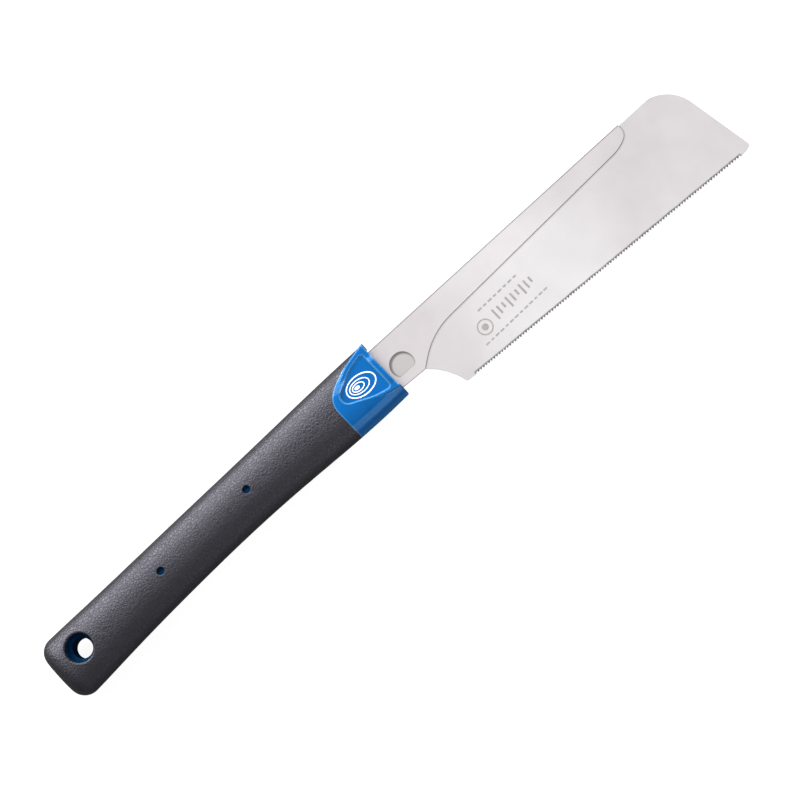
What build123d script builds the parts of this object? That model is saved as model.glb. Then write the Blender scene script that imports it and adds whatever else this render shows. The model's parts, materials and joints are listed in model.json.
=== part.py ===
from build123d import *
from math import cos, hypot, pi, radians, sin
import os

# Pull saw with a short folded back. Its replaceable blade hooks into an overmoulded handle.
# Millimetres. The saw lies flat: +X runs from the butt to the nose, +Y from the teeth to the spine,
# and z = 0 is the middle plane of the blade. The origin is the middle of the hang hole.

# Handle: stations along X with the upper and lower edge of the grip there, and how full the oval is
butt_x = -15.5
mouth_x = 175.5
half_thickness = 10.0
handle_stations = [
    (butt_x, 12.7, -17.1, 2.3),
    (11.5, 12.6, -15.9, 2.25),
    (38.5, 12.45, -14.75, 2.2),
    (65.5, 12.4, -14.2, 2.2),
    (92.5, 12.25, -14.3, 2.2),
    (119.5, 12.15, -15.4, 2.3),
    (146.5, 12.1, -17.0, 2.5),
    (mouth_x, 11.6, -17.4, 2.7),
]
butt_round = 7.0
section_points = 24
seam_step = 3  # the surface's seam runs along the upper flank, clear of the parting plane
grip_wall = 2.0
grip_front_x = 148.2
grip_front_low = (grip_front_x, -4.5)
grip_front_rise = [(149.2, 0.4), (153.4, 4.6), (161.0, 8.0), (171.0, 10.9)]

# Hang hole, wide in the near shell and narrow in the far one's boss, and the two mould pin holes on each face
bore_r = 4.4
bore_rim_chamfer = 0.5
bore_near_z = 2.5
bore_far_z = -7.5
hang_opening_r = 6.25
hang_rim_round = 0.8
mould_hole_r = 1.65
mould_rim_round = 0.4
mould_holes = [(47.5, -0.4), (97.6, -0.5)]

# Head: raised shield with a sunk panel on each face
shield_tip = (150.0, -1.3)
shield_upper = [(153.6, 3.9), (161.0, 7.6), (mouth_x, 10.9)]
shield_lower = [(153.6, -5.4), (161.0, -9.5), (mouth_x, -13.9)]
shield_z = 9.3
shield_edge_round = 0.7
panel_depth = 0.5
panel_tip = (152.7, -1.4)
panel_upper = [(156.0, 2.5), (162.6, 5.7), (172.4, 8.0)]
panel_lower = [(156.0, -5.3), (162.6, -8.6), (172.4, -11.4)]
panel_corner = 1.5
head_edge_round = 0.8
mouth_step = 0.6
mouth_step_span = (-12.6, 10.2)

# Blade pack: a plate between the two leaves of a folded back
plate_t = 0.4
leaf_t = 0.6
pack_half = plate_t / 2 + leaf_t
fold_round = pack_half - 0.1
spine_at_mouth = 7.65
spine_drop = 0.0243
stiffener_end_x = 319.0
nose_round = 17.0
toe_round = 1.0
leaf_tip = (stiffener_end_x, 1.6)

# Neck: its lower corners at the mouth and at the heel, and the D-shaped window
mouth_low = (mouth_x, -13.75)
neck_low = (187.7, -14.6)
window_middle = (181.95, -6.45)
window_r = 5.6
window_flat_y = -10.05
window_corner = 1.5
neck_rise = [(195.3, -9.45), (203.4, -6.25), (212.0, -5.2)]
heel_middle = (193.9, -22.2)
heel_low = [(197.0, -30.2), (197.6, -30.95)]
leaf_edge_end = (308.0, -3.85)
leaf_nose_middle = (315.5, -2.4)
toe_points = [(350.3, -42.0), (353.1, -41.2)]
nose_top_x = 346.0

# Teeth, filed for the pull stroke
first_tooth = (201.9, -31.3)
last_tooth = (346.9, -42.2)
tooth_count = 100
tooth_depth = 1.0
tooth_front_share = 0.22
fleam_deg = 20.0

# Tang, hook pin and socket
pin_x, pin_y = 137.0, 1.0
pin_r = 2.0
pin_half_length = 5.5
pin_clearance = 0.05
pin_end_gap = 0.1
pin_chamfer = 0.3
tang_end_r = 6.5
tang_end_start = 100.0  # degrees; keeps a clear corner between the spine and the rear round
socket_sheet = 1.2
socket_side_gap = 0.05
socket_roof_gap = 0.15
socket_half = pack_half + socket_side_gap + socket_sheet
socket_fold_round = socket_half - 0.2
socket_back_x = 119.0
socket_front_x = 174.4
socket_top = spine_at_mouth + socket_roof_gap + socket_sheet
socket_under_edge = [(socket_front_x, -14.2), (154.0, -12.2), (150.0, -11.0), (socket_back_x, -8.5)]
slot_open_x = 150.0
slot_floor = -13.9
slot_floor_back = -11.0
dowel_r = 1.5
dowel_x = 124.0
dowel_rows = (4.6, -4.6)
dowel_half_length = 5.0

# Core shells: pockets that keep the walls even, and the pegs that line up the halves
pocket_length, pocket_width, pocket_depth = 20.0, 13.0, 4.6
pocket_pitch = 23.5
pocket_corner = 2.5
pocket_y = -1.0
pocket_first_x = 29.0
pocket_count = 4
peg_r = 2.2
peg_height = 4.0
peg_root = 1.0  # how far a peg is rooted in its own shell
peg_places = [(12.8, -0.8), (114.2, -1.2)]

reach = 30.0  # half height of cutting bodies, more than any piece
sheet_size = (2 * mouth_x + 10, 2 * reach)  # a rectangle about the origin that covers the whole handle


def oval(x, top, bottom, fullness, inset):
    """Closed oval across the handle at x, drawn in by inset."""
    middle = (top + bottom) / 2
    wide = (top - bottom) / 2 - inset
    thick = half_thickness - inset
    points = []
    for step in range(seam_step, section_points + seam_step):
        turn = 2 * pi * step / section_points
        across = wide * abs(cos(turn)) ** (2 / fullness)
        up = thick * abs(sin(turn)) ** (2 / fullness)
        points.append((middle + (across if cos(turn) > 0 else -across), up if sin(turn) > 0 else -up))
    with BuildSketch(Plane.YZ.offset(x)) as section:
        with BuildLine():
            Spline(*points, periodic=True)
        make_face()
    return section.sketch


def handle_form(inset, round_butt):
    """The handle's smooth body, inset from the outer surface and rounded at the butt."""
    with BuildPart() as form:
        for x, top, bottom, fullness in handle_stations:
            add(oval(x + inset if x == butt_x else x, top, bottom, fullness, inset))
        loft()
        fillet(form.edges().group_by(Axis.X)[0], round_butt)
    return form.part


def spine_y(x):
    """Height of the folded back's upper edge."""
    return spine_at_mouth - spine_drop * (x - mouth_x)


def head_region():
    """Side view of everything ahead of the grip's front edge, as a sheet to extrude."""
    ahead = mouth_x + reach
    with BuildSketch() as region:
        with BuildLine():
            low = Line((grip_front_x, -reach), grip_front_low)
            rise = Spline(low @ 1, *grip_front_rise, tangents=[(0, 1), (1, 0.26)])
            Polyline(rise @ 1, ((rise @ 1).X, reach), (ahead, reach), (ahead, -reach), low @ 0)
        make_face()
    return region.sketch


def half_lens(tip, upper, lower):
    """Side view of an arch on its side: round at the tip, opening along both branches to a flat front."""
    with BuildSketch() as outline:
        with BuildLine():
            rise = Spline(tip, *upper, tangents=[(0, 1), (1, 0.17)])
            fall = Spline(tip, *lower, tangents=[(0, -1), (1, -0.2)])
            Line(rise @ 1, fall @ 1)
        make_face()
    return outline.sketch


outer_form = handle_form(0, butt_round)
inner_form = handle_form(grip_wall, butt_round - grip_wall)
front_region = head_region()
shield_face = half_lens(shield_tip, shield_upper, shield_lower)
with BuildSketch() as panel_outline:
    add(half_lens(panel_tip, panel_upper, panel_lower))
    fillet(panel_outline.vertices().sort_by(Axis.X)[-2:], panel_corner)
panel_face = panel_outline.sketch

# Shield boss, raised on both faces of the head
with BuildPart() as shield_boss:
    add(shield_face)
    extrude(amount=shield_z, both=True)
    rims = shield_boss.edges().group_by(Axis.Z)[0] + shield_boss.edges().group_by(Axis.Z)[-1]
    fillet(rims, shield_edge_round)

# Head: the part of the handle's outer form that shows as plastic
with BuildPart() as head:
    add(outer_form)
    fillet(head.edges().group_by(Axis.X)[-1], head_edge_round)
    with BuildSketch(Plane.XY.offset(-reach)):
        add(front_region)
    extrude(amount=2 * reach, mode=Mode.INTERSECT)
    add(shield_boss.part)
    for face_z, way in ((shield_z - panel_depth, 1), (panel_depth - shield_z, -1)):
        with BuildSketch(Plane.XY.offset(face_z)):
            add(panel_face)
        extrude(amount=way * reach, mode=Mode.SUBTRACT)

# Core before its halves are parted: inner form under the grip, head, bore and the socket's pocket
with BuildPart() as core:
    add(inner_form)
    add(head.part)
    with BuildSketch(Plane.XY.offset(-reach)):
        Circle(bore_r)
        with Locations((mouth_x, sum(mouth_step_span) / 2)):
            Rectangle(2 * mouth_step, mouth_step_span[1] - mouth_step_span[0])
    extrude(amount=2 * reach, mode=Mode.SUBTRACT)
    for side, rim_z in ((1, bore_near_z), (-1, bore_far_z)):
        with BuildSketch(Plane.XY.offset(rim_z)):
            Circle(hang_opening_r)
        extrude(amount=side * reach, mode=Mode.SUBTRACT)
        with Locations(Location((0, 0, rim_z - side * bore_rim_chamfer), (0 if side > 0 else 180, 0, 0))):
            Cone(
                bore_r,
                bore_r + 2 * bore_rim_chamfer,
                2 * bore_rim_chamfer,
                align=(Align.CENTER, Align.CENTER, Align.MIN),
                mode=Mode.SUBTRACT,
            )
    with BuildSketch(Plane.XY.offset(-socket_half)):
        with BuildLine():
            Polyline(
                (socket_back_x, socket_top),
                (mouth_x + 1, socket_top),
                (mouth_x + 1, -reach),
                (slot_open_x, -reach),
                (slot_open_x, slot_floor),
                (socket_back_x, slot_floor_back),
                close=True,
            )
        make_face()
    extrude(amount=2 * socket_half, mode=Mode.SUBTRACT)
    with BuildSketch(Plane.XY.offset(-pin_half_length - pin_end_gap)):
        with Locations((pin_x, pin_y)):
            Circle(pin_r + pin_clearance)
    extrude(amount=2 * (pin_half_length + pin_end_gap), mode=Mode.SUBTRACT)
    with BuildSketch(Plane.XY.offset(-dowel_half_length)):
        with Locations(*[(dowel_x, row) for row in dowel_rows]):
            Circle(dowel_r)
    extrude(amount=2 * dowel_half_length, mode=Mode.SUBTRACT)
    with BuildSketch(Plane.XY.offset(-pocket_depth)):
        with Locations(*[(pocket_first_x + pocket_pitch * step, pocket_y) for step in range(pocket_count)]):
            RectangleRounded(pocket_length, pocket_width, pocket_corner)
    extrude(amount=2 * pocket_depth, mode=Mode.SUBTRACT)

# Near core shell, with the pegs
with BuildPart() as core_shell_near:
    add(core.part)
    with BuildSketch():
        Rectangle(*sheet_size)
    extrude(amount=reach, mode=Mode.INTERSECT)
    with BuildSketch(Plane.XY.offset(peg_root - peg_height)):
        with Locations(*peg_places):
            Circle(peg_r)
    extrude(amount=peg_height)
core_shell_near.part.label = "core_shell_near"

# Far core shell, with the holes for the pegs
with BuildPart() as core_shell_far:
    add(core.part)
    with BuildSketch():
        Rectangle(*sheet_size)
    extrude(amount=-reach, mode=Mode.INTERSECT)
    with BuildSketch(Plane.XY.offset(peg_root - peg_height)):
        with Locations(*peg_places):
            Circle(peg_r)
    extrude(amount=peg_height, mode=Mode.SUBTRACT)
core_shell_far.part.label = "core_shell_far"

# Grip sleeve: soft skin moulded over the core, open at the hang hole and at the mould pin holes
with BuildPart() as grip_sleeve:
    add(outer_form)
    add(inner_form, mode=Mode.SUBTRACT)
    with BuildSketch(Plane.XY.offset(-reach)):
        add(front_region)
        Circle(hang_opening_r)
        with Locations(*mould_holes):
            Circle(mould_hole_r)
    extrude(amount=2 * reach, mode=Mode.SUBTRACT)
    for hole_r, rim_round in ((hang_opening_r, hang_rim_round), (mould_hole_r, mould_rim_round)):
        face_edges = grip_sleeve.edges().filter_by(lambda edge: abs(edge.center().Z) > half_thickness - 0.4)
        fillet(face_edges.filter_by(lambda edge: 6 * hole_r < edge.length < 7 * hole_r), rim_round)
grip_sleeve.part.label = "grip_sleeve"

# Blade socket: folded spring steel, closed along the spine and open towards the teeth
with BuildPart() as blade_socket:
    with BuildSketch(Plane.XY.offset(-socket_half)):
        with BuildLine():
            Polyline(
                (socket_back_x, socket_top),
                (socket_front_x, socket_top),
                *socket_under_edge,
                close=True,
            )
        make_face()
    extrude(amount=2 * socket_half)
    fold_edges = blade_socket.edges().filter_by(Axis.X).group_by(Axis.Y)[-1]
    fillet(fold_edges, socket_fold_round)
    with BuildSketch(Plane.YZ.offset(socket_back_x - 1)):
        with Locations((socket_top - socket_sheet - reach / 2, 0)):
            Rectangle(reach, 2 * (pack_half + socket_side_gap))
    extrude(amount=reach * 2 + 1, mode=Mode.SUBTRACT)
    with BuildSketch(Plane.XY.offset(-socket_half)):
        with Locations((pin_x, pin_y)):
            Circle(pin_r + pin_clearance)
        with Locations(*[(dowel_x, row) for row in dowel_rows]):
            Circle(dowel_r)
    extrude(amount=2 * socket_half, mode=Mode.SUBTRACT)
blade_socket.part.label = "blade_socket"

# Hook pin: free to turn in the socket, held endways by the core shells
with BuildPart() as hook_pin:
    with BuildSketch(Plane.XY.offset(-pin_half_length)):
        with Locations((pin_x, pin_y)):
            Circle(pin_r)
    extrude(amount=2 * pin_half_length)
    chamfer(hook_pin.edges().group_by(Axis.Z)[0] + hook_pin.edges().group_by(Axis.Z)[-1], pin_chamfer)
hook_pin.part.label = "hook_pin"

# Dowels that locate the socket in the core
with BuildPart() as socket_pins:
    with BuildSketch(Plane.XY.offset(-dowel_half_length)):
        with Locations(*[(dowel_x, row) for row in dowel_rows]):
            Circle(dowel_r)
    extrude(amount=2 * dowel_half_length)
socket_pins.part.label = "socket_pins"


def pack_outline():
    """Side view of the folded back: nose, long leaf, deep neck and the tang with its open notch."""
    with BuildSketch() as outline:
        with BuildLine():
            tang_end = CenterArc((pin_x, pin_y), tang_end_r, tang_end_start, 270 - tang_end_start)
            under_tang = Polyline(tang_end @ 1, mouth_low, neck_low)
            rise = Spline(under_tang @ 1, *neck_rise, tangents=[(1, 0.75), (1, 0.02)])
            leaf_edge = Line(rise @ 1, leaf_edge_end)
            leaf_nose = Spline(leaf_edge @ 1, leaf_nose_middle, leaf_tip, tangents=[(1, 0.02), (0.1, 1)])
            spine_front = (stiffener_end_x, spine_y(stiffener_end_x))
            Polyline(leaf_nose @ 1, spine_front, (mouth_x, spine_at_mouth), tang_end @ 0)
        make_face()
        with Locations((pin_x, pin_y)):
            Circle(pin_r + pin_clearance, mode=Mode.SUBTRACT)
        with Locations((pin_x - tang_end_r, pin_y)):
            Rectangle(2 * tang_end_r, 2 * (pin_r + pin_clearance), mode=Mode.SUBTRACT)
    return outline.sketch


def blade_outline():
    """Side view of the plate ahead of the neck, with straight edges where the teeth will be cut."""
    with BuildSketch() as outline:
        with BuildLine():
            heel = ThreePointArc(neck_low, heel_middle, heel_low[0])
            Polyline(
                *heel_low,
                first_tooth,
                last_tooth,
                *toe_points,
                (nose_top_x, spine_y(nose_top_x)),
                (neck_low[0], spine_y(neck_low[0])),
                neck_low,
            )
        make_face()
        fillet(outline.vertices().sort_by(Axis.Y)[-3:].sort_by(Axis.X)[-1], nose_round)
        fillet(outline.vertices().sort_by(Axis.X)[-1], toe_round)
    return outline.sketch


def under_fold(edge_y):
    """Everything between the inside of the fold and the line y = edge_y, for the whole blade's length."""
    back_x, front_x = pin_x - reach, last_tooth[0] + reach
    with BuildSketch() as room:
        with BuildLine():
            Polyline(
                (back_x, spine_at_mouth - leaf_t),
                (mouth_x, spine_at_mouth - leaf_t),
                (front_x, spine_y(front_x) - leaf_t),
                (front_x, edge_y),
                (back_x, edge_y),
                close=True,
            )
        make_face()
    return room.sketch


def tooth_gaps(first):
    """Every second gap between the teeth, steep on the side towards the nose, starting from first."""
    run_x, run_y = last_tooth[0] - first_tooth[0], last_tooth[1] - first_tooth[1]
    run = hypot(run_x, run_y)
    along = Vector(run_x / run, run_y / run)
    inward = Vector(-along.Y, along.X)
    pitch = run / tooth_count
    start = Vector(*first_tooth)
    with BuildSketch() as gaps:
        for number in range(first, tooth_count, 2):
            tip = start + along * (pitch * number)
            root = tip + along * (pitch * (1 - tooth_front_share)) + inward * tooth_depth
            end = tip + along * pitch
            with BuildLine():
                Polyline(tip, root, end, end - inward * tooth_depth, tip - inward * tooth_depth, close=True)
            make_face()
    return gaps.sketch


# Blade plate: toothed along the lower edge, its spine and rear end folded into the back
with BuildPart() as blade_plate:
    with BuildSketch(Plane.XY.offset(-plate_t / 2)):
        add(pack_outline())
        add(blade_outline())
        add(under_fold(reach), mode=Mode.SUBTRACT)
    extrude(amount=plate_t)
    for first, lean in ((0, fleam_deg), (1, -fleam_deg)):
        extrude(
            tooth_gaps(first),
            amount=plate_t,
            dir=(sin(radians(lean)), 0, cos(radians(lean))),
            both=True,
            mode=Mode.SUBTRACT,
        )
blade_plate.part.label = "blade_plate"

# Folded back: two leaves joined along the spine, with the plate between them and a window in the neck
with BuildPart() as back_stiffener:
    with BuildSketch(Plane.XY.offset(-pack_half)):
        add(pack_outline())
        with BuildSketch(mode=Mode.PRIVATE) as window:
            with Locations(window_middle):
                Circle(window_r)
            with Locations((window_middle[0], window_flat_y - window_r)):
                Rectangle(2 * window_r, 2 * window_r, mode=Mode.SUBTRACT)
            fillet(window.vertices(), window_corner)
        add(window.sketch, mode=Mode.SUBTRACT)
    extrude(amount=2 * pack_half)
    rims = back_stiffener.edges().group_by(Axis.Z)[0] + back_stiffener.edges().group_by(Axis.Z)[-1]
    fold_rims = rims.filter_by(lambda edge: edge.center().Y > spine_at_mouth - 3 and edge.length > 10)
    fillet(fold_rims, fold_round)
    with BuildSketch(Plane.XY.offset(-plate_t / 2)):
        add(under_fold(-reach))
    extrude(amount=plate_t, mode=Mode.SUBTRACT)
back_stiffener.part.label = "back_stiffener"

pieces = [
    core_shell_near,
    core_shell_far,
    grip_sleeve,
    blade_socket,
    hook_pin,
    socket_pins,
    back_stiffener,
    blade_plate,
]
os.makedirs("parts", exist_ok=True)
for piece in pieces:
    export_step(piece.part, f"parts/{piece.part.label}.step")
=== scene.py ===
import bpy
import json
from math import cos, radians, sin
from mathutils import Matrix, Vector

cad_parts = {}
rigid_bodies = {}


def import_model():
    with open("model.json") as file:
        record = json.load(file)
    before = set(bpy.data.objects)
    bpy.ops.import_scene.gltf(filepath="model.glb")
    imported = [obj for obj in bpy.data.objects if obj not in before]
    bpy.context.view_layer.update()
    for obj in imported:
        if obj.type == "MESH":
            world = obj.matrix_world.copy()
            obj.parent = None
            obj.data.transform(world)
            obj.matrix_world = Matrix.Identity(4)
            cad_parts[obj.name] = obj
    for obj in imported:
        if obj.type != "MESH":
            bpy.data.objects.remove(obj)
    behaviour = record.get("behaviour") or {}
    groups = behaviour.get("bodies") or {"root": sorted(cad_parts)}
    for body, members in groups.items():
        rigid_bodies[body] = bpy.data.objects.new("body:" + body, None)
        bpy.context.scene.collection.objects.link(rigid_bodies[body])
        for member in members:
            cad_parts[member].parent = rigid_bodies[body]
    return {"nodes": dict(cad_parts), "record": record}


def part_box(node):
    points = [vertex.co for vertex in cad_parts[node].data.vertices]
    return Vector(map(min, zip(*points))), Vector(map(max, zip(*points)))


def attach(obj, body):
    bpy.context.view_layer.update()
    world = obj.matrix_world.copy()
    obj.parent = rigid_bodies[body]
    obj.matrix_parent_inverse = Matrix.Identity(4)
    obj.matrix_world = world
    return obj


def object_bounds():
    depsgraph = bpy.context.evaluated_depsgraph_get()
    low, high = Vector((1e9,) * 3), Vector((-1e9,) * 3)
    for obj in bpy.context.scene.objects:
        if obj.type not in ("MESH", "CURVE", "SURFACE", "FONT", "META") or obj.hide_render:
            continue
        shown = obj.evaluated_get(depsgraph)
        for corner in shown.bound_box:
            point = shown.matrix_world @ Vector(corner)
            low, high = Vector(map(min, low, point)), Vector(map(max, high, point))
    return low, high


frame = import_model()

# A pull saw with a short folded back, lying flat: +X runs from the butt to the nose, +Y from the teeth to the
# spine, and +Z out of the near face. The origin is the middle of the hang hole.
CAD_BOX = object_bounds()
MM = 0.001
ALONG = (1.0, 0.0, 0.0)

# ---------------------------------------------------------------- places on the saw
PLATE_FACE_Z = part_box("blade_plate")[1].z
PANEL_Z = 8.8 * MM  # the face of the sunk panel in the head
OPEN_BLUE_X = (136.0 * MM, 144.0 * MM)  # between the mould holes and the head, where the core is covered
WINDOW_END_X = (187.0 * MM, 188.0 * MM)  # around the nose end of the neck's window
# The ring of painted shadow in the window is centred here, set low, so that it falls on the window's spine
# side.
WINDOW_LOW = Vector((182.1, -7.2, 0.2)) * MM  # a little below the middle of the neck's window
SHEEN_X = 250.0 * MM  # where the painted sheen on the steel is brightest
SHEEN_FADE = (6.0 * MM, 48.0 * MM)  # how far from there it starts and stops fading
SHADOW_RIM = (4.7 * MM, 5.5 * MM)  # how far from WINDOW_LOW the painted shadow starts and is full
HARD_RIM = (1.15 * MM, 1.75 * MM)  # how far in from the tooth tips the hardening starts and stops fading
FIRST_TOOTH = Vector((201.9, -31.3, 0.0)) * MM
LAST_TOOTH = Vector((346.9, -42.2, 0.0)) * MM

# Films of paint and etching: how thick they are, and how deep they are set into their face
FILM_THICKNESS = 0.05 * MM
FILM_SINK = 0.02 * MM

# A Mix node's colour sockets, by number, because they share their names with others
MIX_FIRST, MIX_SECOND, MIX_RESULT = 6, 7, 2


# ---------------------------------------------------------------- small helpers for node trees
def add_node(tree, kind, **settings):
    made = tree.nodes.new(kind)
    for name, value in settings.items():
        setattr(made, name, value)
    return made


def feed(tree, value, target):
    """Wires a socket to target, or sets the number or colour on it."""
    if value is None:
        return
    if isinstance(value, bpy.types.NodeSocket):
        tree.links.new(value, target)
    else:
        target.default_value = value


def math_node(tree, operation, first, second=None, third=None):
    made = add_node(tree, "ShaderNodeMath", operation=operation)
    for number, value in enumerate((first, second, third)):
        feed(tree, value, made.inputs[number])
    return made.outputs[0]


def vector_node(tree, operation, first, second):
    made = add_node(tree, "ShaderNodeVectorMath", operation=operation)
    feed(tree, first, made.inputs[0])
    feed(tree, second, made.inputs["Scale"] if operation == "SCALE" else made.inputs[1])
    return made.outputs["Value"] if operation in ("DOT_PRODUCT", "DISTANCE") else made.outputs["Vector"]


def noise(tree, place, scale, detail=2.0, roughness=0.5, distortion=0.0):
    made = add_node(tree, "ShaderNodeTexNoise")
    feed(tree, place, made.inputs["Vector"])
    feed(tree, scale, made.inputs["Scale"])
    made.inputs["Detail"].default_value = detail
    made.inputs["Roughness"].default_value = roughness
    made.inputs["Distortion"].default_value = distortion
    return made


def spread(tree, value, low, high, to_low=0.0, to_high=1.0):
    """Maps value from low..high to to_low..to_high, held at the ends."""
    made = add_node(tree, "ShaderNodeMapRange", clamp=True)
    feed(tree, value, made.inputs["Value"])
    for label, number in (("From Min", low), ("From Max", high), ("To Min", to_low), ("To Max", to_high)):
        feed(tree, number, made.inputs[label])
    return made.outputs["Result"]


def blend_colour(tree, factor, first, second):
    """first where factor is 0 and second where it is 1."""
    made = add_node(tree, "ShaderNodeMix", data_type="RGBA", blend_type="MIX")
    feed(tree, factor, made.inputs["Factor"])
    feed(tree, first, made.inputs[MIX_FIRST])
    feed(tree, second, made.inputs[MIX_SECOND])
    return made.outputs[MIX_RESULT]


def reach_along(tree, place, direction):
    """How far place lies along a direction, from the origin."""
    return vector_node(tree, "DOT_PRODUCT", place, direction)


def start_group(name, inputs, outputs):
    group = bpy.data.node_groups.new(name, "ShaderNodeTree")
    for label, kind, default in inputs:
        socket = group.interface.new_socket(label, in_out="INPUT", socket_type=kind)
        if default is not None:
            socket.default_value = default
    for label in outputs:
        group.interface.new_socket(label, in_out="OUTPUT", socket_type="NodeSocketFloat")
    return group, group.nodes.new("NodeGroupInput").outputs, group.nodes.new("NodeGroupOutput").inputs


def use_group(tree, group, place, **values):
    made = add_node(tree, "ShaderNodeGroup", node_tree=group)
    feed(tree, place, made.inputs["Place"])
    for label, value in values.items():
        feed(tree, value, made.inputs[label])
    return made.outputs


# ---------------------------------------------------------------- shared effects
def make_leather_grain():
    """Fine pebbled hide: domes parted by creases, over a slow swell. Cell is the size of one dome."""
    inputs = [("Place", "NodeSocketVector", None), ("Cell", "NodeSocketFloat", 0.8 * MM)]
    group, given, out = start_group("leather_grain", inputs, ["Height", "Crease", "Mottle"])
    per_metre = math_node(group, "DIVIDE", 1.0, given["Cell"])

    # The cells' borders wander by about a cell, so that no dome is a plain polygon
    wander = noise(group, given["Place"], math_node(group, "MULTIPLY", per_metre, 0.7), 1.0)
    wander = vector_node(group, "SUBTRACT", wander.outputs["Color"], (0.5, 0.5, 0.5))
    wander = vector_node(group, "SCALE", wander, math_node(group, "MULTIPLY", given["Cell"], 1.1))
    cells = add_node(group, "ShaderNodeTexVoronoi", feature="DISTANCE_TO_EDGE")
    feed(group, vector_node(group, "ADD", given["Place"], wander), cells.inputs["Vector"])
    feed(group, per_metre, cells.inputs["Scale"])
    dome = math_node(group, "POWER", spread(group, cells.outputs["Distance"], 0.0, 0.28), 0.55)

    fine = noise(group, given["Place"], math_node(group, "MULTIPLY", per_metre, 2.6), 2.0).outputs["Fac"]
    slow = noise(group, given["Place"], math_node(group, "MULTIPLY", per_metre, 0.16), 3.0).outputs["Fac"]
    height = math_node(group, "MULTIPLY_ADD", dome, 0.75, math_node(group, "MULTIPLY", fine, 0.35))
    feed(group, math_node(group, "MULTIPLY_ADD", slow, 0.9, height), out["Height"])
    feed(group, math_node(group, "SUBTRACT", 1.0, dome), out["Crease"])
    feed(group, spread(group, slow, 0.3, 0.7), out["Mottle"])
    return group


def make_ground_lines():
    """Fine parallel grinding lines along X, drawn out by Length, with slow clouds between them."""
    inputs = [
        ("Place", "NodeSocketVector", None),
        ("Lines", "NodeSocketFloat", 9000.0),
        ("Length", "NodeSocketFloat", 0.02),
    ]
    group, given, out = start_group("ground_lines", inputs, ["Streak", "Cloud"])
    squeeze = add_node(group, "ShaderNodeCombineXYZ")
    feed(group, given["Length"], squeeze.inputs["X"])
    squeeze.inputs["Y"].default_value = 1.0
    squeeze.inputs["Z"].default_value = 1.0
    drawn_out = vector_node(group, "MULTIPLY", given["Place"], squeeze.outputs[0])
    lines = noise(group, drawn_out, given["Lines"], 3.0, 0.65)
    cloud = noise(group, given["Place"], 38.0, 3.0, 0.55)
    feed(group, lines.outputs["Fac"], out["Streak"])
    feed(group, spread(group, cloud.outputs["Fac"], 0.3, 0.7), out["Cloud"])
    return group


def make_handling():
    """Where hands and cloths have been: 1 at soft smudges. Size sets how many there are to a metre."""
    inputs = [("Place", "NodeSocketVector", None), ("Size", "NodeSocketFloat", 60.0)]
    group, given, out = start_group("handling", inputs, ["Smudge"])
    smudge = noise(group, given["Place"], given["Size"], 4.0, 0.6, 0.6)
    feed(group, spread(group, smudge.outputs["Fac"], 0.42, 0.68), out["Smudge"])
    return group


GRAIN = make_leather_grain()
GROUND = make_ground_lines()
HANDLING = make_handling()


# ---------------------------------------------------------------- parts of a finish
def start_finish(name, colour, roughness, metallic=0.0):
    """A new material with its own Principled shader, and the object's coordinates to pattern it by."""
    finish = bpy.data.materials.new(name)
    finish.use_nodes = True
    tree = finish.node_tree
    shader = tree.nodes["Principled BSDF"]
    shader.inputs["Base Color"].default_value = (*colour, 1)
    shader.inputs["Roughness"].default_value = roughness
    shader.inputs["Metallic"].default_value = metallic
    place = add_node(tree, "ShaderNodeTexCoord").outputs["Object"]
    return finish, tree, shader, place


def soft_edges(tree, reach):
    """The surface's normal, with its sharp edges rounded over reach."""
    rounded = add_node(tree, "ShaderNodeBevel", samples=6)
    rounded.inputs["Radius"].default_value = reach
    return rounded.outputs["Normal"]


def add_bump(tree, shader, height, distance, edge_round=None):
    """Bumps the surface by distance, and softens its sharp edges to about edge_round."""
    bump = add_node(tree, "ShaderNodeBump")
    if edge_round:
        feed(tree, soft_edges(tree, edge_round), bump.inputs["Normal"])
    bump.inputs["Distance"].default_value = distance
    bump.inputs["Strength"].default_value = 1.0
    feed(tree, height, bump.inputs["Height"])
    feed(tree, bump.outputs["Normal"], shader.inputs["Normal"])


def corner_shade(tree, depth):
    """1 in the open, falling to 0 in inner corners closer than depth, where painted shade goes."""
    corners = add_node(tree, "ShaderNodeAmbientOcclusion", samples=8)
    corners.inputs["Distance"].default_value = depth
    return spread(tree, corners.outputs["AO"], 0.55, 0.93)


def edge_band(tree, depth):
    """1 along edges, over about depth, and 0 on open faces."""
    flat = add_node(tree, "ShaderNodeNewGeometry").outputs["Normal"]
    likeness = vector_node(tree, "DOT_PRODUCT", soft_edges(tree, depth), flat)
    return spread(tree, likeness, 0.9, 0.99, 1.0, 0.0)


# ---------------------------------------------------------------- finishes
def grip_elastomer():
    """Charcoal soft skin with a leather grain, with painted shade in the creases."""
    finish, tree, shader, place = start_finish("grip_elastomer", (0.011, 0.011, 0.014), 0.5)
    shader.inputs["Specular Tint"].default_value = (0.88, 0.86, 1.0, 1)
    shader.inputs["Specular IOR Level"].default_value = 0.6
    grain = use_group(tree, GRAIN, place, Cell=1.45 * MM)
    worn = use_group(tree, HANDLING, place, Size=55.0)
    base = blend_colour(tree, grain["Mottle"], (0.0065, 0.0065, 0.0085, 1), (0.011, 0.0105, 0.0135, 1))
    # Painted shade: the creases between the domes are darkened.
    crease_shaded = blend_colour(tree, grain["Crease"], base, (0.004, 0.004, 0.005, 1))
    feed(tree, crease_shaded, shader.inputs["Base Color"])
    rough = math_node(tree, "MULTIPLY_ADD", grain["Crease"], 0.25, 0.36)
    feed(tree, math_node(tree, "MULTIPLY_ADD", worn["Smudge"], 0.06, rough), shader.inputs["Roughness"])
    add_bump(tree, shader, grain["Height"], 0.125 * MM)
    return finish


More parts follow.
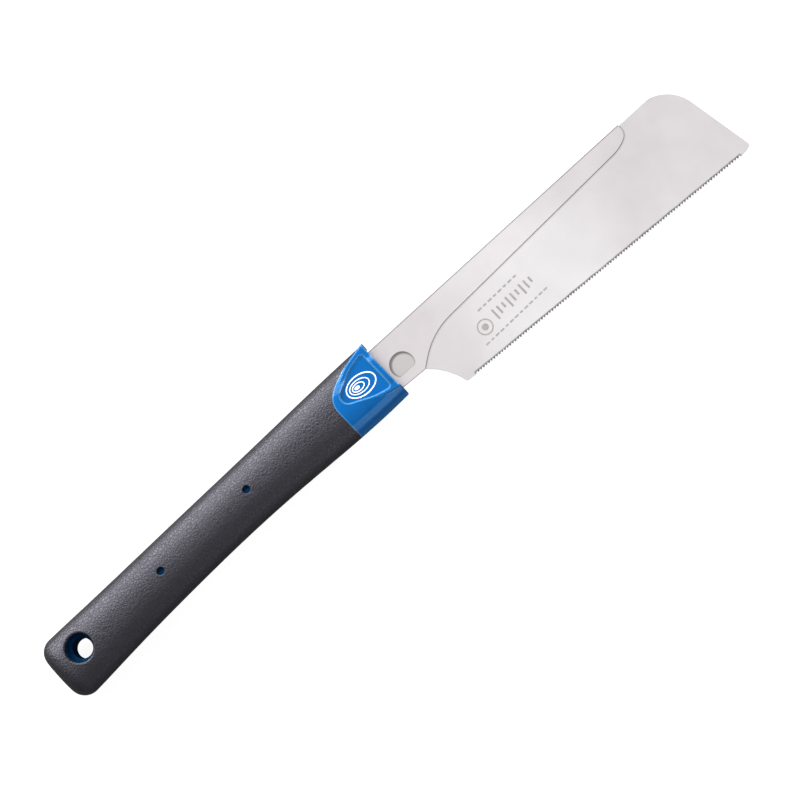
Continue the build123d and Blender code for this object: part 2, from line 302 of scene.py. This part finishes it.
def head_plastic():
    """Glossy blue at the head, with painted highlights along its edges. Under the grip, where only the holes
    show it, it is dull and darkened with painted shade.
    """
    finish, tree, shader, place = start_finish("head_plastic", (0.0, 0.12, 0.38), 0.24)
    shader.inputs["Specular Tint"].default_value = (0.1, 0.5, 1.0, 1)
    shader.inputs["Coat Roughness"].default_value = 0.07
    in_open = spread(tree, reach_along(tree, place, ALONG), *OPEN_BLUE_X)
    # Painted highlight: the edges are lightened towards a pale blue and given a stronger coat.
    edge_highlight = math_node(tree, "MULTIPLY", edge_band(tree, 1.1 * MM), 0.62)
    worn = use_group(tree, HANDLING, place, Size=90.0)
    blue = blend_colour(tree, worn["Smudge"], (0.0, 0.078, 0.27, 1), (0.0, 0.088, 0.295, 1))
    blue = blend_colour(tree, edge_highlight, blue, (0.10, 0.36, 0.66, 1))
    # Painted shade: the core under the grip is made dark where the holes show it.
    feed(tree, blend_colour(tree, in_open, (0.0, 0.018, 0.062, 1), blue), shader.inputs["Base Color"])
    coat = math_node(tree, "MULTIPLY_ADD", edge_highlight, 1.1, 0.25)
    feed(tree, math_node(tree, "MULTIPLY", in_open, coat), shader.inputs["Coat Weight"])
    rough = spread(tree, in_open, 0.0, 1.0, 0.6, 0.2)
    feed(tree, math_node(tree, "MULTIPLY_ADD", worn["Smudge"], 0.08, rough), shader.inputs["Roughness"])
    mould_skin = noise(tree, place, 900.0, 2.0).outputs["Fac"]
    add_bump(tree, shader, mould_skin, 0.015 * MM, edge_round=0.7 * MM)
    return finish


def satin_steel(name, light, shade, roughness, lines=9000.0, edge_round=0.2 * MM):
    """Ground steel, with a painted sheen brightest partway along the saw, lighter in its random clouds, and
    painted shade in its inner corners.
    """
    finish, tree, shader, place = start_finish(name, light, roughness, 1.0)
    ground = use_group(tree, GROUND, place, Lines=lines)
    worn = use_group(tree, HANDLING, place, Size=70.0)
    # Painted sheen: the steel is made lighter around one place along X, with random clouds of lighter tone
    # added.
    from_sheen = math_node(tree, "SUBTRACT", reach_along(tree, place, ALONG), SHEEN_X)
    from_sheen = math_node(tree, "ABSOLUTE", from_sheen)
    sheen_and_cloud = math_node(tree, "MULTIPLY", spread(tree, from_sheen, *SHEEN_FADE, 1.0, 0.0), 0.65)
    sheen_and_cloud = math_node(tree, "MULTIPLY_ADD", ground["Cloud"], 0.35, sheen_and_cloud)
    colour = blend_colour(tree, sheen_and_cloud, (*shade, 1), (*light, 1))
    # Painted shade: the steel is darkened where inner corners lie close.
    colour = blend_colour(tree, corner_shade(tree, 1.1 * MM), (0.24, 0.22, 0.23, 1), colour)
    feed(tree, colour, shader.inputs["Base Color"])
    rough = math_node(tree, "MULTIPLY_ADD", ground["Streak"], 0.12, roughness - 0.06)
    feed(tree, math_node(tree, "MULTIPLY_ADD", worn["Smudge"], 0.05, rough), shader.inputs["Roughness"])
    add_bump(tree, shader, ground["Streak"], 0.004 * MM, edge_round=edge_round)
    return finish, tree, shader, place, colour


def blade_steel():
    """The plate: with painted shade where the neck's window shows it and a painted shadow along the window's
    rim, and hardened dark along the teeth.
    """
    finish, tree, shader, place, colour = satin_steel(
        "blade_steel", (0.70, 0.685, 0.69), (0.558, 0.532, 0.54), 0.38
    )
    # Painted shade: the plate inside the neck, seen only through the window, is darkened.
    past_window = spread(tree, reach_along(tree, place, ALONG), *WINDOW_END_X)
    colour = blend_colour(tree, past_window, (0.50, 0.475, 0.47, 1), colour)
    # Painted shadow: a dark ring inside the window's rim, lying on its spine side.
    window_shadow = spread(tree, vector_node(tree, "DISTANCE", place, WINDOW_LOW), *SHADOW_RIM)
    window_shadow = math_node(tree, "MULTIPLY", window_shadow, math_node(tree, "SUBTRACT", 1.0, past_window))
    colour = blend_colour(tree, window_shadow, colour, (0.20, 0.18, 0.18, 1))

    run = (LAST_TOOTH - FIRST_TOOTH).normalized()
    run_length = (LAST_TOOTH - FIRST_TOOTH).length
    inward = Vector((-run.y, run.x, 0.0))
    above = math_node(tree, "SUBTRACT", reach_along(tree, place, inward), FIRST_TOOTH.dot(inward))
    past_first = math_node(tree, "SUBTRACT", reach_along(tree, place, run), FIRST_TOOTH.dot(run))
    uneven = noise(tree, place, 300.0, 2.0).outputs["Fac"]
    border = math_node(tree, "MULTIPLY_ADD", uneven, 0.6 * MM, above)
    hard = spread(tree, border, *HARD_RIM, 1.0, 0.0)
    hard = math_node(tree, "MULTIPLY", hard, spread(tree, past_first, -0.8 * MM, 0.4 * MM))
    before_end = spread(tree, past_first, run_length, run_length + 0.8 * MM, 1.0, 0.0)
    hard = math_node(tree, "MULTIPLY", hard, before_end)
    feed(tree, blend_colour(tree, hard, colour, (0.17, 0.16, 0.175, 1)), shader.inputs["Base Color"])
    return finish


def film_finish(name, low_tone, high_tone, grain_per_metre, tone_span, roughness, metallic=0.0):
    """A thin print or etching, uneven between two tones."""
    finish, tree, shader, place = start_finish(name, high_tone, roughness, metallic)
    uneven = noise(tree, place, grain_per_metre, 2.0).outputs["Fac"]
    tone = spread(tree, uneven, *tone_span)
    feed(tree, blend_colour(tree, tone, (*low_tone, 1), (*high_tone, 1)), shader.inputs["Base Color"])
    add_bump(tree, shader, uneven, 0.01 * MM)
    return finish


def dress_nodes():
    """Gives every carried-over node its finish."""
    finishes = {
        "head_plastic": head_plastic(),
        "grip_elastomer": grip_elastomer(),
        "spring_steel": satin_steel("socket_steel", (0.58, 0.58, 0.59), (0.50, 0.50, 0.52), 0.3)[0],
        "pin_steel": satin_steel("pin_steel", (0.52, 0.52, 0.54), (0.45, 0.45, 0.47), 0.22, lines=20000.0)[0],
        "back_steel": satin_steel(
            "back_steel", (0.69, 0.665, 0.67), (0.55, 0.515, 0.521), 0.36, edge_round=0.28 * MM
        )[0],
        "blade_steel": blade_steel(),
    }
    for name, node in frame["nodes"].items():
        node.data.materials.clear()
        node.data.materials.append(finishes[SLOT_OF[name]])


# ---------------------------------------------------------------- camera, floor and light
VIEW_TILT = radians(8.4)  # the camera leans this far from straight above, towards the teeth
VIEW_TURN = radians(44.0)  # and is turned this far about the straight line down
VIEW_DISTANCE = 1.05
AIM = Vector((170.75, -16.75, 0.0)) * MM
LENS, SENSOR = 110.9, 36.0
FLOOR_SIZE = 12.0
FLOOR_GAP = 0.2 * MM
STEEL_SLOTS = ("spring_steel", "pin_steel", "back_steel", "blade_steel")
SLOT_OF = {row["node"]: row["material_slot"] for row in frame["record"]["subparts"]}


def make_camera():
    data = bpy.data.cameras.new("studio_camera")
    data.lens = LENS
    data.sensor_width = SENSOR
    data.clip_start = 10.0 * MM
    camera = bpy.data.objects.new("studio_camera", data)
    bpy.context.scene.collection.objects.link(camera)
    away = Vector((0.0, -sin(VIEW_TILT), cos(VIEW_TILT)))
    right = Vector((cos(VIEW_TURN), -sin(VIEW_TURN), 0.0))
    right = (right - away * right.dot(away)).normalized()
    up = away.cross(right)
    turn = Matrix((right, up, away)).transposed()
    camera.matrix_world = Matrix.Translation(AIM + away * VIEW_DISTANCE) @ turn.to_4x4()
    bpy.context.scene.camera = camera


def make_floor():
    """A pale matt floor that shows white and throws little light back on the saw."""
    bpy.ops.object.select_all(action="DESELECT")
    bpy.ops.mesh.primitive_plane_add(size=FLOOR_SIZE, location=(AIM.x, AIM.y, CAD_BOX[0].z - FLOOR_GAP))
    floor = bpy.context.object
    floor.name = "studio_floor"
    finish, tree, shader, place = start_finish("pale_floor", (0.14, 0.14, 0.14), 1.0)
    shader.inputs["Specular IOR Level"].default_value = 0.0
    shader.inputs["Emission Color"].default_value = (1, 1, 1, 1)
    seen = add_node(tree, "ShaderNodeLightPath").outputs["Is Camera Ray"]
    feed(tree, math_node(tree, "MULTIPLY", seen, 0.93), shader.inputs["Emission Strength"])
    floor.data.materials.append(finish)


def make_softbox(name, place, wide, tall, power):
    """A rectangular lamp at place, seen from the aim point, and facing it."""
    data = bpy.data.lights.new(name, "AREA")
    data.shape = "RECTANGLE"
    data.size = wide
    data.size_y = tall
    data.energy = power
    lamp = bpy.data.objects.new(name, data)
    bpy.context.scene.collection.objects.link(lamp)
    lamp.location = AIM + Vector(place)
    lamp.rotation_euler = (-Vector(place)).to_track_quat("-Z", "Y").to_euler()
    lamp.visible_camera = False
    return lamp


def make_lights():
    """Returns the lamps that light all but the steel, and those that light only the steel."""
    world = bpy.data.worlds.new("studio_air")
    world.use_nodes = True
    world.node_tree.nodes["Background"].inputs["Color"].default_value = (0.97, 0.97, 1, 1)
    world.node_tree.nodes["Background"].inputs["Strength"].default_value = 0.3
    bpy.context.scene.world = world
    bpy.context.scene.view_settings.view_transform = "Standard"
    side_lamps = [
        make_softbox("spine_side_box", (0.08, 1.03, 0.87), 2.4, 1.2, 52.0),
        make_softbox("spine_low_strip", (0.0, 1.2, 0.3), 2.0, 0.35, 20.0),
    ]
    steel_lamps = [make_softbox("steel_tent", (0.0, 0.4, 1.7), 5.0, 5.0, 61.0)]
    make_softbox("teeth_side_fill", (0.0, -1.2, 0.25), 2.0, 0.4, 1.6)
    make_softbox("overhead_box", (0.05, -0.1, 1.6), 1.5, 1.5, 2.4)
    make_softbox("head_card", (0.02, -0.26, 0.17), 0.14, 0.2, 0.2)
    return side_lamps, steel_lamps


def share_light(side_lamps, steel_lamps, steel_films):
    """Keeps the side lamps off the steel, which would mirror them, and the wide tent off all the rest."""
    steel = bpy.data.collections.new("steel_pieces")
    others = bpy.data.collections.new("other_pieces")
    for piece in list(bpy.context.scene.objects):
        if piece.type != "MESH":
            continue
        if SLOT_OF.get(piece.name) in STEEL_SLOTS or piece in steel_films:
            steel.objects.link(piece)
        else:
            others.objects.link(piece)
    for lamp in side_lamps:
        lamp.light_linking.receiver_collection = others
    for lamp in steel_lamps:
        lamp.light_linking.receiver_collection = steel


# ---------------------------------------------------------------- films on the head and the plate
def deselect():
    if bpy.context.object and bpy.context.object.mode != "OBJECT":
        bpy.ops.object.mode_set(mode="OBJECT")
    bpy.ops.object.select_all(action="DESELECT")


def edit_all():
    bpy.ops.object.mode_set(mode="EDIT")
    bpy.ops.mesh.select_all(action="SELECT")


def settled(middle, turn):
    """Puts the new piece's place in its mesh, turned about middle in its own plane."""
    bpy.ops.object.mode_set(mode="OBJECT")
    bpy.ops.object.transform_apply(location=True, rotation=True, scale=True)
    edit_all()
    if turn:
        bpy.ops.transform.rotate(value=-turn, orient_axis="Z", center_override=middle)
    bpy.ops.object.mode_set(mode="OBJECT")
    return bpy.context.object


def flat_ring(middle, half_long, half_wide, line, turn=0.0):
    """An oval line lying flat, as wide as line, its long way turned from +X."""
    deselect()
    bpy.ops.mesh.primitive_circle_add(vertices=80, radius=1.0, fill_type="NOTHING", location=middle)
    edit_all()
    bpy.ops.transform.resize(value=(half_long, half_wide, 1.0), center_override=middle)
    bpy.ops.mesh.extrude_region_move()
    inner = ((half_long - line) / half_long, (half_wide - line) / half_wide, 1.0)
    bpy.ops.transform.resize(value=inner, center_override=middle)
    return settled(middle, turn)


def flat_dot(middle, half_long, half_wide, turn=0.0):
    """A filled oval lying flat, its rim drawn once more inside so that it is evenly meshed."""
    deselect()
    bpy.ops.mesh.primitive_circle_add(vertices=48, radius=1.0, fill_type="NGON", location=middle)
    edit_all()
    bpy.ops.transform.resize(value=(half_long, half_wide, 1.0), center_override=middle)
    bpy.ops.mesh.inset(thickness=min(half_long, half_wide) * 0.4, depth=0.0)
    return settled(middle, turn)


def flat_bar(middle, long, wide):
    """A bar lying flat, with its corners rounded."""
    deselect()
    bpy.ops.mesh.primitive_plane_add(size=1.0, location=middle)
    edit_all()
    bpy.ops.transform.resize(value=(long, wide, 1.0), center_override=middle)
    bpy.ops.mesh.bevel(affect="VERTICES", offset=min(long, wide) * 0.3, segments=3)
    return settled(middle, 0.0)


def join_film(name, parts, side, finish, body):
    """Joins flat parts into one thin film that stands out from its face towards side * Z."""
    deselect()
    for part in parts:
        part.select_set(True)
    bpy.context.view_layer.objects.active = parts[0]
    bpy.ops.object.join()
    film = bpy.context.object
    film.name = film.data.name = name
    edit_all()
    bpy.ops.mesh.normals_make_consistent(inside=False)
    bpy.ops.mesh.extrude_region_move(TRANSFORM_OT_translate={"value": (0, 0, side * FILM_THICKNESS)})
    bpy.ops.mesh.select_all(action="SELECT")
    bpy.ops.mesh.normals_make_consistent(inside=False)
    bpy.ops.object.mode_set(mode="OBJECT")
    film.data.materials.append(finish)
    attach(film, body)
    return film


def at(x, y, z):
    """A place given by x and y in millimetres and z in metres."""
    return Vector((x * MM, y * MM, z))


def make_shield_print(name, side, finish):
    """A generic mark on the sunk panel: the end of a log, with its growth rings off centre."""
    face = side * (PANEL_Z - FILM_SINK)
    slant = radians(-6)
    parts = [flat_ring(at(163.2, -1.9, face), 7.4 * MM, 4.7 * MM, 0.55 * MM, slant)]
    for x, y, half_long, half_wide in ((162.4, -1.8, 5.0, 3.0), (161.8, -1.7, 3.1, 1.85)):
        parts.append(flat_ring(at(x, y, face), half_long * MM, half_wide * MM, 0.42 * MM, slant))
    parts.append(flat_dot(at(161.2, -1.6, face), 1.3 * MM, 0.75 * MM, slant))
    return join_film(name, parts, side, finish, "handle")


def make_plate_etching(finish):
    """A generic mark on the plate's near face: a ringed dot and a gauge of bars between two broken lines."""
    face = PLATE_FACE_Z - FILM_SINK
    target = at(218.5, -19.4, face)
    parts = [flat_ring(target, 3.6 * MM, 3.6 * MM, 0.55 * MM), flat_dot(target, 1.5 * MM, 1.5 * MM)]
    for step in range(9):
        tier = step % 3
        middle = at(225.5 + 2.6 * step, -18.6 + 0.35 * tier, face)
        parts.append(flat_bar(middle, 0.9 * MM, (5.4 - 1.3 * tier) * MM))
    for step in range(8):
        long = 2.1 - 0.5 * (step % 2)
        parts.append(flat_bar(at(222.0 + 2.9 * step, -12.3, face), long * MM, 0.75 * MM))
    for step in range(13):
        long = 2.0 - 0.6 * (step % 3 == 1)
        parts.append(flat_bar(at(214.5 + 2.8 * step, -25.4, face), long * MM, 0.7 * MM))
    return join_film("plate_etching", parts, 1, finish, "blade")


make_camera()
make_floor()
side_lamps, steel_lamps = make_lights()
dress_nodes()
print_white = film_finish(
    "print_white", (0.78, 0.83, 0.92), (0.92, 0.94, 0.97), 1600.0, (0.35, 0.65), roughness=0.4
)
etched_steel = film_finish(
    "etched_steel", (0.36, 0.34, 0.33), (0.50, 0.48, 0.47), 2500.0, (0.3, 0.7), roughness=0.6, metallic=0.7
)
make_shield_print("shield_print_near", 1, print_white)
make_shield_print("shield_print_far", -1, print_white)
etching = make_plate_etching(etched_steel)
share_light(side_lamps, steel_lamps, [etching])
